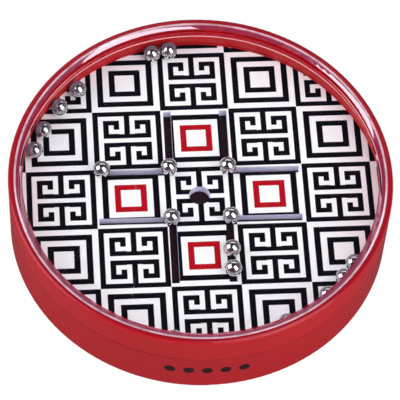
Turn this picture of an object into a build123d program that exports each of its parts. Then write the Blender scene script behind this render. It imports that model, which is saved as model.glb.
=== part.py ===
from build123d import *
import os
from math import cos, radians, sin

# Round hand-held ball puzzle: a flat red case with a printed, slotted board under a
# clear cover, and loose steel balls between the two. Millimetres, +Z up. The origin
# is the centre of the underside, and X and Y run along the slots.

# Driving dimensions of the case
CASE_HEIGHT = 20.1
FOOT_RADIUS = 43.75        # outside of the wall at the bottom
RIM_RADIUS = 44.1          # outside of the wall at the top
SPLIT_Z = 12.3             # joint line between the lower tub and the upper ring
BOARD_TOP = 11.3           # printed surface that the balls roll on
BALL_DIAMETER = 4.0        # stock bearing ball

# Lower tub
TUB_FLOOR = 1.8
FOOT_RECESS = 0.5
FOOT_RECESS_RADIUS = 40.5
FOOT_ROUND = 0.5
WELL_RADIUS = 42.6         # bore that the board drops into
LEDGE_RADIUS = 40.9        # inside of the step under the board's edge
RING_RIB_INSIDE = 19.0
RIB_THICKNESS = 1.2
RADIAL_RIBS = 6

# Upper ring
SPIGOT_RADIUS = 42.95      # outside of the short collar inside the tub
SPIGOT_GAP = 0.05
WALL_FOOT_RADIUS = 42.28   # inside wall at the board
SHELF_INSIDE = 41.62       # inside edge of the shelf that the cover stands on
SHELF_Z = 15.85
SHELF_ROUND = 0.25
SEAT_RADIUS = 42.85        # bore that the cover drops into
RIM_ROUND_OUT = 0.8
RIM_ROUND_IN = 0.2
SPLIT_CHAMFER = 0.2

# Clear cover
COVER_RADIUS = 42.8
COVER_UNDERSIDE = 18.4
COVER_THICKNESS = 1.0
SKIRT_INSIDE = 41.0        # inside of the cover's skirt, under the pane
SKIRT_INSIDE_FOOT = 41.35  # and at its foot, for draft
SKIRT_ROUND = 0.25
LIP_TOP = 19.95
LIP_LAND = 0.1             # flat on top of the lip
LIP_FOOT_RADIUS = 41.5     # where the lip's slope meets the pane
LIP_CROWN = 0.05           # how far the slope bulges
LIP_ROUND = 0.08

# Board, printed sheet and backing
BOARD_RADIUS = 42.5
SHEET_THICKNESS = 0.25
BOARD_THICKNESS = 2.0
BACKING_THICKNESS = 0.8
SLOT_LINE = 6.55           # from the centre to the middle of each slot
SLOT_WIDTH = 1.85
SLOT_END = 23.4            # outer end of each slot
CENTRE_HOLE = 5.0

# Balls
BALL_ORBIT = 39.7          # rim balls: centre's distance from the middle
CORNER = 6.8               # corner balls: centre's X and Y
SLOT_SINK = 0.09           # how far a ball settles into a slot
BALL_CLEARANCE = 0.05      # air under a ball on the open board
SLOT_BALLS = {
    "corner_ball_nw": (-CORNER, CORNER),
    "corner_ball_ne": (CORNER, CORNER),
    "corner_ball_sw": (-CORNER, -CORNER),
    "corner_ball_se": (CORNER, -CORNER),
    "slot_ball_west": (-22.4, SLOT_LINE),
    "slot_ball_south_inner": (SLOT_LINE, -15.6),
    "slot_ball_south_outer": (SLOT_LINE, -20.9),
}
RIM_BALL_DEGREES = [97.8, 103.7, 133.3, 142.8, 153.5, 162.1, 258.6, 296.7, 313.8, 322.5, 329.0]

SHEET_BOTTOM = BOARD_TOP - SHEET_THICKNESS
BOARD_BOTTOM = SHEET_BOTTOM - BOARD_THICKNESS
BACKING_BOTTOM = BOARD_BOTTOM - BACKING_THICKNESS
COVER_TOP = COVER_UNDERSIDE + COVER_THICKNESS


def wall_radius(z):
    """Outside radius of the case at height z, on its slight taper."""
    return FOOT_RADIUS + (RIM_RADIUS - FOOT_RADIUS) * z / CASE_HEIGHT


def revolved(points):
    """Solid of revolution from (radius, height) points."""
    section = Plane.XZ * make_face(Polyline(*points, close=True))
    return revolve(section, Axis.Z)


def circles_near(part, radius, z, tolerance=0.05):
    """Round edges of a turned part at the given radius and height."""
    rounds = part.edges().filter_by(GeomType.CIRCLE)
    return [edge for edge in rounds
            if abs(edge.radius - radius) < tolerance and abs(edge.center().Z - z) < tolerance]


def disc(radius, bottom, thickness):
    """Flat disc from its underside's height."""
    return Pos(0, 0, bottom + thickness / 2) * Cylinder(radius, thickness)


def lower_tub():
    """Lower shell: wall, floor, the step under the board and the ribs that carry it."""
    floor_top = FOOT_RECESS + TUB_FLOOR
    tub = revolved([
        (0, FOOT_RECESS),
        (FOOT_RECESS_RADIUS, FOOT_RECESS),
        (FOOT_RECESS_RADIUS, 0),
        (FOOT_RADIUS, 0),
        (wall_radius(SPLIT_Z), SPLIT_Z),
        (SPIGOT_RADIUS + SPIGOT_GAP, SPLIT_Z),
        (SPIGOT_RADIUS + SPIGOT_GAP, BOARD_TOP),
        (WELL_RADIUS, BOARD_TOP),
        (WELL_RADIUS, BACKING_BOTTOM),
        (LEDGE_RADIUS, BACKING_BOTTOM),
        (LEDGE_RADIUS, floor_top),
        (0, floor_top),
    ])
    rib_height = BACKING_BOTTOM - floor_top
    ring = Cylinder(RING_RIB_INSIDE + RIB_THICKNESS, rib_height) - Cylinder(RING_RIB_INSIDE, rib_height)
    tub += Pos(0, 0, floor_top + rib_height / 2) * ring
    rib_start = RING_RIB_INSIDE + RIB_THICKNESS / 2
    rib_length = LEDGE_RADIUS + RIB_THICKNESS / 2 - rib_start
    rib = Pos(rib_start + rib_length / 2, 0, floor_top + rib_height / 2) * Box(
        rib_length, RIB_THICKNESS, rib_height)
    for index in range(RADIAL_RIBS):
        tub += Rot(0, 0, index * 360 / RADIAL_RIBS) * rib
    tub = chamfer(circles_near(tub, wall_radius(SPLIT_Z), SPLIT_Z), SPLIT_CHAMFER)
    return fillet(circles_near(tub, FOOT_RADIUS, 0), FOOT_ROUND)


def upper_ring():
    """Upper shell: outer wall, leaning inner wall, and the shelf that the cover stands on."""
    ring = revolved([
        (WALL_FOOT_RADIUS, BOARD_TOP),
        (SPIGOT_RADIUS, BOARD_TOP),
        (SPIGOT_RADIUS, SPLIT_Z),
        (wall_radius(SPLIT_Z), SPLIT_Z),
        (RIM_RADIUS, CASE_HEIGHT),
        (SEAT_RADIUS, CASE_HEIGHT),
        (SEAT_RADIUS, SHELF_Z),
        (SHELF_INSIDE, SHELF_Z),
    ])
    ring = chamfer(circles_near(ring, wall_radius(SPLIT_Z), SPLIT_Z), SPLIT_CHAMFER)
    ring = fillet(circles_near(ring, RIM_RADIUS, CASE_HEIGHT), RIM_ROUND_OUT)
    ring = fillet(circles_near(ring, SEAT_RADIUS, CASE_HEIGHT), RIM_ROUND_IN)
    return fillet(circles_near(ring, SHELF_INSIDE, SHELF_Z), SHELF_ROUND)


def clear_cover():
    """Clear cap: a flat pane with a sloping lip on top and a skirt round its edge."""
    lip_edge = (COVER_RADIUS - LIP_LAND, LIP_TOP)
    lip_foot = (LIP_FOOT_RADIUS, COVER_TOP)
    crown = ((lip_edge[0] + lip_foot[0]) / 2, (lip_edge[1] + lip_foot[1]) / 2 + LIP_CROWN)
    outline = Polyline(
        lip_foot,
        (0, COVER_TOP),
        (0, COVER_UNDERSIDE),
        (SKIRT_INSIDE, COVER_UNDERSIDE),
        (SKIRT_INSIDE_FOOT, SHELF_Z),
        (COVER_RADIUS, SHELF_Z),
        (COVER_RADIUS, LIP_TOP),
        lip_edge,
    )
    section = Plane.XZ * make_face(outline + ThreePointArc(lip_edge, crown, lip_foot))
    cover = revolve(section, Axis.Z)
    cover = fillet(circles_near(cover, SKIRT_INSIDE, COVER_UNDERSIDE), SKIRT_ROUND)
    return fillet(circles_near(cover, COVER_RADIUS, LIP_TOP), LIP_ROUND)


def cut_outs(bottom, thickness):
    """The centre hole and the eight slots, which meet in pairs at four corners."""
    cutter = disc(CENTRE_HOLE / 2, bottom, thickness)
    slot_start = SLOT_LINE - SLOT_WIDTH / 2
    slot_length = SLOT_END - slot_start
    slot_middle = slot_start + slot_length / 2
    middle_z = bottom + thickness / 2
    for side_x in (-1, 1):
        for side_y in (-1, 1):
            cutter += Pos(side_x * SLOT_LINE, side_y * slot_middle, middle_z) * Box(
                SLOT_WIDTH, slot_length, thickness)
            cutter += Pos(side_x * slot_middle, side_y * SLOT_LINE, middle_z) * Box(
                slot_length, SLOT_WIDTH, thickness)
    return cutter


def slotted_disc(bottom, thickness):
    """Board-shaped disc with the slots and the centre hole through it."""
    return disc(BOARD_RADIUS, bottom, thickness) - cut_outs(bottom, thickness)


def ball(x, y, z):
    """Steel ball with its centre at the given point."""
    return Pos(x, y, z) * Sphere(BALL_DIAMETER / 2)


def balls():
    """Every ball by name: seven in the slots, the rest round the rim."""
    placed = {}
    slot_z = BOARD_TOP + BALL_DIAMETER / 2 - SLOT_SINK
    for name, (x, y) in SLOT_BALLS.items():
        placed[name] = ball(x, y, slot_z)
    rim_z = BOARD_TOP + BALL_DIAMETER / 2 + BALL_CLEARANCE
    for number, degrees in enumerate(RIM_BALL_DEGREES, start=1):
        angle = radians(degrees)
        placed[f"rim_ball_{number:02d}"] = ball(
            BALL_ORBIT * cos(angle), BALL_ORBIT * sin(angle), rim_z)
    return placed


def parts():
    """All nodes by name."""
    nodes = {
        "lower_tub": lower_tub(),
        "upper_ring": upper_ring(),
        "clear_cover": clear_cover(),
        "printed_sheet": slotted_disc(SHEET_BOTTOM, SHEET_THICKNESS),
        "slotted_board": slotted_disc(BOARD_BOTTOM, BOARD_THICKNESS),
        "dark_backing": disc(BOARD_RADIUS, BACKING_BOTTOM, BACKING_THICKNESS),
    }
    nodes.update(balls())
    return nodes


os.makedirs("parts", exist_ok=True)
for node_name, solid in parts().items():
    export_step(solid, f"parts/{node_name}.step")
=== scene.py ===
from math import cos, pi, radians, sin, tan

import bmesh
import bpy
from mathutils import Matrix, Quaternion, Vector

# Round hand-held ball puzzle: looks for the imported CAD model. Metres, +Z up.

MM = 0.001

# Camera: where it looks, from how far, and its turn about its own axis
CAMERA_AIM = Vector((0.0, -1.3, 11.7)) * MM
CAMERA_DISTANCE = 0.7314
CAMERA_ELEVATION = 57.77
CAMERA_AZIMUTH = -6.11
CAMERA_ROLL = 3.72
CAMERA_LENS = 285.5
CAMERA_SENSOR = 36.0

# Print on the board: tiles of two motifs; inks end softly and spread a little
TILE = 16.0 * MM
PRINT_TURN = 0.5
PRINT_SHIFT = (0.13 * MM, -0.22 * MM)
KEY_CELLS = 13
INK_EDGE = 0.004
INK_SPREAD = 0.03

# Key motif: the white strokes of one quarter, as cells across and up from the tile's middle
KEY_STROKES = (
    ((4.5, 5.5), (-1, 5.5)),
    ((0.5, 5.5), (4.5, 5.5)),
    ((-1, 5.5), (-1, 0.5)),
    ((0.5, 1.5), (1.4, 5.5)),
    ((0.5, 3.5), (1.5, 2.5)),
    ((2.5, 3.5), (1.5, 3.5)),
)

# Framed motif: each frame's inner and outer edge, in tiles from the middle
OUTER_FRAME = (0.322, 0.411)
INNER_FRAME = (0.142, 0.231)

# Case: edges of its regions, their tones with painted shade and a painted highlight, and the printed
# dots
INNER_WALL_RADIUS = 42.6 * MM
SHELF_EDGE = 15.62 * MM
SHELF_CORNER_RADIUS = 41.8 * MM
RIM_TOP = 19.9 * MM
SEAM_LOW = 12.05 * MM
SEAM_HIGH = 12.55 * MM
TOP_RED_PAINTED_SHADE = (0.38, 0.007, 0.020, 1)
INNER_RED_PAINTED_SHADE = (0.50, 0.004, 0.007, 1)
PAINTED_CORNER_HIGHLIGHT = (1.0, 0.62, 0.54, 1)
MIRRORED_RED = (0.20, 0.18, 0.24, 1)
MIRROR_GREYING = 0.85
CLOUD_SHADE = 0.92
CORNER_HIGHLIGHT_COVER = 0.95
SEAM_COVER = 0.4
SEAM_PAINTED_SHADE = 0.35
CASE_ROUGHNESS = (0.2, 0.26)
INSIDE_DULLER = 0.3
SHELF_DULLER = -0.42
SEAM_DULLER = 0.5
DOT_CENTRE = (-0.4 * MM, 7.4 * MM)
DOT_PITCH = 4.2 * MM
DOT_RADIUS = 1.25 * MM
DOT_COUNT = 5
DOT_INK = (0.030, 0.006, 0.010, 1)
INK_SOFT = 0.12 * MM

# Cover: edges of the pane, lip and skirt, their glare, the painted reflection of the red case seen
# through them, and the painted crest highlight
LIP_FOOT_RADIUS = 41.5 * MM
FLAT_FACE = 0.99
SCRATCH_WIDTH = 0.003
SCRATCH_PLACES = 0.58
SCRATCH_DULLER = 0.13
PANE_UNDERSIDE = 18.0 * MM
PANE_TOP = 19.38 * MM
LIP_GLARE = 0.25
LIP_CREST = 19.81 * MM
CREST_SOFT = 0.06 * MM
CREST_SPOTS = (0.3, 1.6)
SKIRT_GLARE = 0.01
SKIRT_CLEAR = 16.9 * MM
SKIRT_SOFT = 0.7 * MM
EDGE_FRESNEL = 0.15
EDGE_TOP_SHARE = 0.5
# Painted reflection: rose tones for the red case seen through the lip and skirt
LIP_PAINTED_RED = (0.48, 0.030, 0.115, 1)
SKIRT_PAINTED_RED = (0.52, 0.010, 0.028, 1)
PAINTED_CREST_HIGHLIGHT = (1.0, 0.72, 0.80, 1)

# Studio
LAMP_DISTANCE = 0.9
LAMP_COLOUR = (1, 0.98, 1)
FLOOR_RADIUS = 3.0
FLOOR_SIDES = 96
WALL_TOP = 0.6
WALL_SIDES = (-0.5, 0.4)
WORLD_DARK = (0.025, 0.022, 0.030, 1)
WORLD_PALE = (0.26, 0.22, 0.29, 1)
FLOOR_SHEET = (0.74, 0.72, 0.74, 1)
FLOOR_MIRRORED = (0.22, 0.17, 0.18, 1)

# Colours, linear
RED = (0.62, 0.019, 0.026, 1)
INK_BLACK = (0.0025, 0.002, 0.005, 1)
INK_RED = (0.40, 0.004, 0.011, 1)
PAPER = (0.86, 0.875, 0.90, 1)


def tinted(colour, tone):
    """A colour made darker or lighter."""
    return tuple(channel * tone for channel in colour[:3]) + (1,)


def colour_sockets(sockets):
    """The colour sockets of a Mix node, which has hidden ones of other types."""
    return [socket for socket in sockets if socket.type == "RGBA"]


def material(name):
    """New node material with an empty tree."""
    made = bpy.data.materials.new(name)
    made.use_nodes = True
    made.node_tree.nodes.clear()
    return made


class Shader:
    """Short calls for building one material's nodes."""

    def __init__(self, name):
        self.material = material(name)
        self.tree = self.material.node_tree
        self.output = self.node("ShaderNodeOutputMaterial")

    def node(self, kind, **settings):
        """New node with some of its settings."""
        made = self.tree.nodes.new(kind)
        for key, value in settings.items():
            setattr(made, key, value)
        return made

    def put(self, socket, value):
        """Links a socket, or sets a plain value."""
        if isinstance(value, bpy.types.NodeSocket):
            self.tree.links.new(value, socket)
        else:
            socket.default_value = value

    def math(self, operation, *values):
        """One sum on numbers or sockets."""
        made = self.node("ShaderNodeMath", operation=operation)
        for socket, value in zip(made.inputs, values):
            self.put(socket, value)
        return made.outputs[0]

    def step(self, value, edge, softness):
        """0 below the edge and 1 above it, with a short soft ramp between."""
        made = self.node("ShaderNodeMapRange", interpolation_type="SMOOTHSTEP")
        self.put(made.inputs["Value"], value)
        made.inputs["From Min"].default_value = edge - softness / 2
        made.inputs["From Max"].default_value = edge + softness / 2
        return made.outputs["Result"]

    def below(self, value, edge, softness):
        """1 below the edge and 0 above it."""
        return self.math("SUBTRACT", 1.0, self.step(value, edge, softness))

    def plus(self, value, mask, amount):
        """Adds an amount where the mask is 1."""
        return self.math("ADD", value, self.math("MULTIPLY", mask, amount))

    def band(self, value, low, high, softness):
        """1 between two edges and 0 outside them."""
        above = self.step(value, low, softness)
        return self.math("SUBTRACT", above, self.step(value, high, softness))

    def mix(self, factor, first, second):
        """One colour over another."""
        made = self.node("ShaderNodeMix", data_type="RGBA")
        colours = colour_sockets(made.inputs)
        self.put(made.inputs["Factor"], factor)
        self.put(colours[0], first)
        self.put(colours[1], second)
        return colour_sockets(made.outputs)[0]

    def noise(self, vector, scale, detail=2.0, roughness=0.5):
        """Fine random pattern, about 0..1."""
        made = self.node("ShaderNodeTexNoise")
        self.put(made.inputs["Vector"], vector)
        made.inputs["Scale"].default_value = scale
        made.inputs["Detail"].default_value = detail
        made.inputs["Roughness"].default_value = roughness
        return made.outputs["Fac"]

    def place(self):
        """Where the point is on its piece, in metres."""
        return self.node("ShaderNodeTexCoord").outputs["Object"]

    def spread(self, value, low, high):
        """Maps 0..1 to low..high."""
        made = self.node("ShaderNodeMapRange")
        self.put(made.inputs["Value"], value)
        made.inputs["To Min"].default_value = low
        made.inputs["To Max"].default_value = high
        return made.outputs["Result"]

    def bump(self, height, strength, distance):
        """Surface direction, tilted by a height pattern."""
        made = self.node("ShaderNodeBump")
        self.put(made.inputs["Height"], height)
        made.inputs["Strength"].default_value = strength
        made.inputs["Distance"].default_value = distance
        return made.outputs["Normal"]

    def principled(self, **inputs):
        """Principled shader; an underscore in a name stands for a space."""
        made = self.node("ShaderNodeBsdfPrincipled")
        for key, value in inputs.items():
            self.put(made.inputs[key.replace("_", " ")], value)
        return made.outputs["BSDF"]

    def blend(self, factor, first, second):
        """One shader over another."""
        made = self.node("ShaderNodeMixShader")
        self.put(made.inputs[0], factor)
        self.put(made.inputs[1], first)
        self.put(made.inputs[2], second)
        return made.outputs[0]

    def done(self, shader):
        """Sends the shader to the output, and gives back the material."""
        self.tree.links.new(shader, self.output.inputs["Surface"])
        return self.material


def printed_dots(s, place):
    """Mask: a row of plain dots printed on the front of the case."""
    split = s.node("ShaderNodeSeparateXYZ")
    s.put(split.inputs[0], place)
    x, y, z = split.outputs
    along = s.math("DIVIDE", s.math("SUBTRACT", x, DOT_CENTRE[0]), DOT_PITCH)
    nearest = s.math("ROUND", along)
    off_x = s.math("MULTIPLY", s.math("SUBTRACT", along, nearest), DOT_PITCH)
    off_z = s.math("SUBTRACT", z, DOT_CENTRE[1])
    far = s.math("SQRT", s.math("ADD", s.math("POWER", off_x, 2.0), s.math("POWER", off_z, 2.0)))
    dot = s.below(far, DOT_RADIUS, INK_SOFT)
    in_row = s.math("LESS_THAN", s.math("ABSOLUTE", nearest), DOT_COUNT / 2)
    front = s.math("LESS_THAN", y, 0.0)
    return s.math("MULTIPLY", s.math("MULTIPLY", dot, in_row), front)


def grey_in_mirrors(s, colour):
    """Grey-violet where a ball mirrors the colour; unchanged when seen straight or through the pane."""
    path = s.node("ShaderNodeLightPath")
    straight = s.math("SUBTRACT", 1.0, path.outputs["Is Transmission Ray"])
    mirrored = s.math("MULTIPLY", path.outputs["Is Glossy Ray"], straight)
    return s.mix(s.math("MULTIPLY", mirrored, MIRROR_GREYING), colour, MIRRORED_RED)


def case_regions(s, place):
    """Masks on the case by radius and height, each 0 to 1."""
    flat = s.node("ShaderNodeVectorMath", operation="MULTIPLY")
    s.put(flat.inputs[0], place)
    flat.inputs[1].default_value = (1, 1, 0)
    length = s.node("ShaderNodeVectorMath", operation="LENGTH")
    s.put(length.inputs[0], flat.outputs[0])
    split = s.node("ShaderNodeSeparateXYZ")
    s.put(split.inputs[0], place)
    radius, height = length.outputs["Value"], split.outputs["Z"]
    inside = s.below(radius, INNER_WALL_RADIUS, 0.3 * MM)
    shelf = s.math("MULTIPLY", inside, s.step(height, SHELF_EDGE, 0.1 * MM))
    return {
        "inside": inside,
        "shelf": shelf,
        "shelf_corner_highlight": s.math("MULTIPLY", shelf, s.below(radius, SHELF_CORNER_RADIUS, 0.1 * MM)),
        "seam": s.band(height, SEAM_LOW, SEAM_HIGH, 0.05 * MM),
        "rim_top": s.step(height, RIM_TOP, 0.15 * MM),
    }


def red_plastic(name, tone, dots=False):
    """Glossy moulded plastic with a fine grain; duller on the inside wall and the joint line."""
    s = Shader(name)
    place = s.place()
    grain = s.noise(place, 2500, 3)
    cloud = s.noise(place, 60, 2)
    region = case_regions(s, place)

    colour = s.mix(cloud, tinted(RED, tone), tinted(RED, tone * CLOUD_SHADE))
    # Painted shade: the inside wall is painted a darker, deeper red
    colour = s.mix(region["inside"], colour, INNER_RED_PAINTED_SHADE)
    # Painted shade: the rim's top face is painted a darker red
    colour = s.mix(region["rim_top"], colour, TOP_RED_PAINTED_SHADE)
    # Painted highlight: a light salmon line along the shelf's inner corner
    colour = s.mix(s.math("MULTIPLY", region["shelf_corner_highlight"], CORNER_HIGHLIGHT_COVER), colour, PAINTED_CORNER_HIGHLIGHT)
    # Painted shade: the joint line's groove is painted a darker red
    colour = s.mix(s.math("MULTIPLY", region["seam"], SEAM_COVER), colour, tinted(RED, SEAM_PAINTED_SHADE))
    colour = grey_in_mirrors(s, colour)
    if dots:
        colour = s.mix(printed_dots(s, place), colour, DOT_INK)

    rough = s.spread(grain, *CASE_ROUGHNESS)
    rough = s.plus(rough, region["inside"], INSIDE_DULLER)
    rough = s.plus(rough, region["shelf"], SHELF_DULLER)
    rough = s.plus(rough, region["seam"], SEAM_DULLER)
    return s.done(s.principled(
        Base_Color=colour,
        Roughness=rough,
        IOR=1.5,
        Specular_IOR_Level=0.3,
        Normal=s.bump(grain, 0.03, 0.00002)))


def print_ink():
    """The printed pattern: key squares and framed squares by turns."""
    s = Shader("board_print")
    mapping = s.node("ShaderNodeMapping", vector_type="TEXTURE")
    s.put(mapping.inputs["Vector"], s.place())
    mapping.inputs["Location"].default_value = (PRINT_SHIFT[0], PRINT_SHIFT[1], 0)
    mapping.inputs["Rotation"].default_value = (0, 0, radians(PRINT_TURN))
    mapping.inputs["Scale"].default_value = (TILE, TILE, TILE)
    split = s.node("ShaderNodeSeparateXYZ")
    s.put(split.inputs[0], mapping.outputs[0])
    column = s.math("ROUND", split.outputs["X"])
    row = s.math("ROUND", split.outputs["Y"])
    across = s.math("ABSOLUTE", s.math("SUBTRACT", split.outputs["X"], column))
    up = s.math("ABSOLUTE", s.math("SUBTRACT", split.outputs["Y"], row))

    cell_x = s.math("MULTIPLY", across, KEY_CELLS)
    cell_y = s.math("MULTIPLY", up, KEY_CELLS)
    soft = INK_EDGE * KEY_CELLS
    white_key = 0.0
    for (left, right), (low, high) in KEY_STROKES:
        wide = s.band(cell_x, left + INK_SPREAD, right - INK_SPREAD, soft)
        tall = s.band(cell_y, low + INK_SPREAD, high - INK_SPREAD, soft)
        stroke = s.math("MULTIPLY", wide, tall)
        white_key = s.math("MAXIMUM", stroke, white_key)

    reach = s.math("MAXIMUM", across, up)
    outer_frame = s.band(reach, *OUTER_FRAME, INK_EDGE)
    inner_frame = s.band(reach, *INNER_FRAME, INK_EDGE)
    steps = s.math("ADD", s.math("ABSOLUTE", column), s.math("ABSOLUTE", row))
    # The four framed squares next to the middle tile are red inside
    is_red = s.math("COMPARE", steps, 1.0, 0.1)
    inner_ink = s.mix(is_red, INK_BLACK, INK_RED)
    square = s.mix(inner_frame, s.mix(outer_frame, PAPER, INK_BLACK), inner_ink)
    key = s.mix(white_key, INK_BLACK, PAPER)
    odd = s.math("FLOORED_MODULO", steps, 2.0)
    colour = s.mix(odd, key, square)
    fibre = s.noise(s.place(), 1500, 3)
    return s.done(s.principled(
        Base_Color=colour,
        Roughness=s.spread(fibre, 0.34, 0.42),
        Specular_IOR_Level=0.03,
        Normal=s.bump(fibre, 0.02, 0.00001)))


def board_white():
    """Matt white board, seen on the slots' walls."""
    s = Shader("board_white")
    grain = s.noise(s.place(), 1800, 2)
    return s.done(s.principled(
        # Painted shade: the white board is painted a lavender grey, the shaded look of its slot walls
        # under the studio's lavender light
        Base_Color=s.mix(grain, (0.74, 0.73, 0.90, 1), (0.66, 0.65, 0.83, 1)),
        Roughness=s.spread(grain, 0.5, 0.6),
        Normal=s.bump(grain, 0.1, 0.00003)))


def backing_dark():
    """Matt, nearly black red-brown under the slots."""
    s = Shader("backing_dark")
    grain = s.noise(s.place(), 1200, 3)
    return s.done(s.principled(
        Base_Color=s.mix(grain, (0.014, 0.004, 0.007, 1), (0.030, 0.011, 0.017, 1)),
        Roughness=s.spread(grain, 0.5, 0.7),
        Specular_IOR_Level=0.1,
        Normal=s.bump(grain, 0.2, 0.00004)))


def polished_steel():
    """Bearing steel with fine rubbed marks."""
    s = Shader("polished_steel")
    scuff = s.noise(s.place(), 700, 4, 0.6)
    return s.done(s.principled(
        Base_Color=s.mix(scuff, (0.80, 0.79, 0.80, 1), (0.66, 0.65, 0.68, 1)),
        Metallic=1.0,
        Roughness=s.spread(scuff, 0.04, 0.11),
        Normal=s.bump(scuff, 0.03, 0.00001)))


def lamps_pass(s, shader):
    """Lets lamps shine through a clear shader without bending their light."""
    clear = s.node("ShaderNodeBsdfTransparent")
    clear.inputs["Color"].default_value = (0.95, 0.95, 0.96, 1)
    path = s.node("ShaderNodeLightPath")
    return s.blend(path.outputs["Is Shadow Ray"], shader, clear.outputs[0])


def clear_pane():
    """Clear moulded plastic that bends what is seen through it, with a few faint scratches."""
    s = Shader("clear_pane")
    place = s.place()
    smear = s.noise(place, 90, 3, 0.6)
    lines = s.band(s.noise(place, 34, 1), 0.5 - SCRATCH_WIDTH, 0.5 + SCRATCH_WIDTH, SCRATCH_WIDTH)
    few = s.step(s.noise(place, 55, 1), SCRATCH_PLACES, 0.04)
    scratch = s.math("MULTIPLY", lines, few)
    rough = s.plus(s.spread(smear, 0.0, 0.03), scratch, SCRATCH_DULLER)
    body = s.principled(
        Base_Color=(0.985, 0.985, 0.99, 1),
        Roughness=rough,
        IOR=1.49,
        Transmission_Weight=1.0,
        Normal=s.bump(smear, 0.02, 0.00001))
    return s.done(lamps_pass(s, body))


def clear_edge(name, glare, polish, painted_red_cover, tone):
    """Clear plastic seen edge on: silvery glare over a painted rose body in streaks, a painted
    reflection of the red case seen through it, a painted highlight along the crest and a clear foot.

    glare is the least share of shine, polish its roughness, painted_red_cover how much the painted red
    hides.
    """
    s = Shader(name)
    place = s.place()
    split = s.node("ShaderNodeSeparateXYZ")
    s.put(split.inputs[0], place)
    # Painted reflection: the clear part is tinted pink and a rose body is painted in streaks, for the
    # red case seen through the edge
    through = s.node("ShaderNodeBsdfTransparent")
    through.inputs["Color"].default_value = (0.96, 0.88, 0.93, 1)
    shine = s.node("ShaderNodeBsdfGlossy")
    shine.inputs["Color"].default_value = (0.97, 0.92, 1.0, 1)
    ripple = s.noise(place, 200, 1)
    s.put(shine.inputs["Roughness"], s.spread(ripple, polish * 0.85, polish))
    s.put(shine.inputs["Normal"], s.bump(ripple, 0.02, 0.00001))
    # Painted highlight: a broken light pink line along the lip's crest
    crest = s.step(split.outputs["Z"], LIP_CREST, CREST_SOFT)
    broken = s.spread(s.noise(place, 300, 2), *CREST_SPOTS)
    crest_highlight = s.math("MULTIPLY", crest, broken)
    body = s.node("ShaderNodeBsdfDiffuse")
    s.put(body.inputs["Color"], grey_in_mirrors(s, s.mix(crest_highlight, tone, PAINTED_CREST_HIGHLIGHT)))
    streak = s.spread(s.noise(place, 250, 2), painted_red_cover * 0.7, painted_red_cover * 1.3)
    painted_red_streaks = s.math("MULTIPLY", streak, s.step(split.outputs["Z"], SKIRT_CLEAR, SKIRT_SOFT))
    clear_with_painted_red = s.blend(s.math("MAXIMUM", painted_red_streaks, crest_highlight), through.outputs[0], body.outputs[0])
    facing = s.node("ShaderNodeLayerWeight")
    facing.inputs["Blend"].default_value = EDGE_FRESNEL
    share = s.spread(facing.outputs["Fresnel"], glare, EDGE_TOP_SHARE)
    return s.done(lamps_pass(s, s.blend(share, clear_with_painted_red, shine.outputs[0])))


def dress(node, made):
    """Gives a CAD node a better material."""
    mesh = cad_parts[node].data
    mesh.materials.clear()
    mesh.materials.append(made)


def dress_cover():
    """The pane in one material, the lip and the skirt round it in two others."""
    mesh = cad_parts["clear_cover"].data
    mesh.materials.clear()
    mesh.materials.append(clear_pane())
    mesh.materials.append(clear_edge("clear_lip", LIP_GLARE, polish=0.06, painted_red_cover=0.66, tone=LIP_PAINTED_RED))
    mesh.materials.append(clear_edge("clear_skirt", SKIRT_GLARE, polish=0.3, painted_red_cover=0.72, tone=SKIRT_PAINTED_RED))
    for face in mesh.polygons:
        radius = Vector(face.center[:2]).length
        flat = abs(face.normal.z) > FLAT_FACE
        if flat and radius < LIP_FOOT_RADIUS and face.center.z > PANE_UNDERSIDE:
            face.material_index = 0
        elif face.center.z > PANE_TOP:
            face.material_index = 1
        else:
            face.material_index = 2


def direction(azimuth, elevation):
    """Unit vector: azimuth from -Y toward +X, elevation above the table, in degrees."""
    a, e = radians(azimuth), radians(elevation)
    return Vector((sin(a) * cos(e), -cos(a) * cos(e), sin(e)))


def add_camera():
    """Camera at the photograph's viewing angle."""
    back = direction(CAMERA_AZIMUTH, CAMERA_ELEVATION)
    data = bpy.data.cameras.new("camera")
    data.lens = CAMERA_LENS
    data.sensor_width = CAMERA_SENSOR
    camera = bpy.data.objects.new("camera", data)
    bpy.context.collection.objects.link(camera)
    camera.location = CAMERA_AIM + back * CAMERA_DISTANCE
    camera.rotation_mode = "QUATERNION"
    level = (-back).to_track_quat("-Z", "Y")
    camera.rotation_quaternion = level @ Quaternion((0, 0, 1), radians(CAMERA_ROLL))
    bpy.context.scene.camera = camera


def add_softbox(name, azimuth, elevation, width, height, brightness):
    """Square-cornered area lamp aimed at the case; width and height in degrees."""
    away = direction(azimuth, elevation)
    data = bpy.data.lights.new(name, "AREA")
    data.shape = "RECTANGLE"
    data.size = 2 * LAMP_DISTANCE * tan(radians(width / 2))
    data.size_y = 2 * LAMP_DISTANCE * tan(radians(height / 2))
    data.energy = brightness * pi * data.size * data.size_y
    data.color = LAMP_COLOUR
    lamp = bpy.data.objects.new(name, data)
    bpy.context.collection.objects.link(lamp)
    lamp.location = away * LAMP_DISTANCE
    lamp.rotation_mode = "QUATERNION"
    lamp.rotation_quaternion = (-away).to_track_quat("-Z", "Y")


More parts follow.
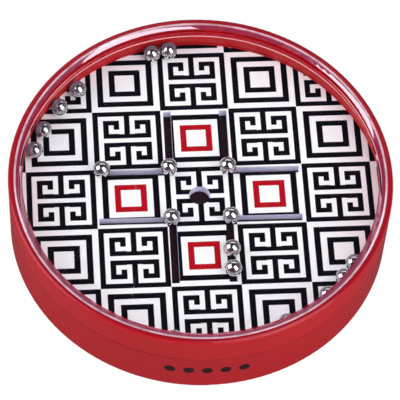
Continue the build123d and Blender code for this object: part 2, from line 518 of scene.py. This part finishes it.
def add_world():
    """Dim studio: dark overhead, a paler wall low down behind the case."""
    world = bpy.data.worlds.new("studio")
    bpy.context.scene.world = world
    world.use_nodes = True
    tree = world.node_tree
    tree.nodes.clear()
    place = tree.nodes.new("ShaderNodeTexCoord")
    split = tree.nodes.new("ShaderNodeSeparateXYZ")
    low = tree.nodes.new("ShaderNodeMapRange")
    far = tree.nodes.new("ShaderNodeMapRange")
    wall = tree.nodes.new("ShaderNodeMath")
    blend = tree.nodes.new("ShaderNodeMix")
    back = tree.nodes.new("ShaderNodeBackground")
    out = tree.nodes.new("ShaderNodeOutputWorld")
    low.inputs["From Min"].default_value = WALL_TOP
    low.inputs["From Max"].default_value = 0.0
    far.inputs["From Min"].default_value = WALL_SIDES[0]
    far.inputs["From Max"].default_value = WALL_SIDES[1]
    wall.operation = "MULTIPLY"
    blend.data_type = "RGBA"
    colours = colour_sockets(blend.inputs)
    colours[0].default_value = WORLD_DARK
    colours[1].default_value = WORLD_PALE
    mixed = colour_sockets(blend.outputs)[0]
    tree.links.new(place.outputs["Generated"], split.inputs[0])
    tree.links.new(split.outputs["Z"], low.inputs["Value"])
    tree.links.new(split.outputs["Y"], far.inputs["Value"])
    tree.links.new(low.outputs["Result"], wall.inputs[0])
    tree.links.new(far.outputs["Result"], wall.inputs[1])
    tree.links.new(wall.outputs[0], blend.inputs["Factor"])
    tree.links.new(mixed, back.inputs["Color"])
    tree.links.new(back.outputs["Background"], out.inputs["Surface"])


def add_floor():
    """Large white table top. It looks evenly white, and throws less light back at the case."""
    mesh = bpy.data.meshes.new("floor")
    form = bmesh.new()
    bmesh.ops.create_circle(form, cap_ends=True, segments=FLOOR_SIDES, radius=FLOOR_RADIUS)
    form.to_mesh(mesh)
    form.free()
    floor = bpy.data.objects.new("floor", mesh)
    bpy.context.collection.objects.link(floor)
    s = Shader("white_table")
    lit = s.node("ShaderNodeBsdfDiffuse")
    path = s.node("ShaderNodeLightPath")
    s.put(lit.inputs["Color"], s.mix(path.outputs["Is Glossy Ray"], FLOOR_SHEET, FLOOR_MIRRORED))
    white = s.node("ShaderNodeEmission")
    white.inputs["Color"].default_value = (1, 1, 1, 1)
    table = s.blend(path.outputs["Is Camera Ray"], lit.outputs[0], white.outputs[0])
    mesh.materials.append(s.done(table))


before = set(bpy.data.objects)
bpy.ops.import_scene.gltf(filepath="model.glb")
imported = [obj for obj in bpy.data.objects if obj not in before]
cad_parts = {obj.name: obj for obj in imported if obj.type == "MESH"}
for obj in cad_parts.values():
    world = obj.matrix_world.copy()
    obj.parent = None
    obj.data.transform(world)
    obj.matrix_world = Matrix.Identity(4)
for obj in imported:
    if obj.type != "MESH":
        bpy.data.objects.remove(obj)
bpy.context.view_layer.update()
bpy.context.scene.view_settings.view_transform = "Standard"

steel = polished_steel()
# Painted shade: the lower tub's red is painted a tenth darker than the ring's
dress("lower_tub", red_plastic("case_red_tub", 0.9, dots=True))
dress("upper_ring", red_plastic("case_red_ring", 1.0))
dress_cover()
dress("printed_sheet", print_ink())
dress("slotted_board", board_white())
dress("dark_backing", backing_dark())
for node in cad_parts:
    if "ball" in node:
        dress(node, steel)

add_camera()
add_world()
add_floor()
add_softbox("left_softbox", azimuth=-90, elevation=33, width=44, height=54, brightness=3.3)
add_softbox("right_softbox", azimuth=46.5, elevation=40, width=38, height=74, brightness=3.15)
add_softbox("back_strip", azimuth=176, elevation=43, width=56, height=14, brightness=1.4)
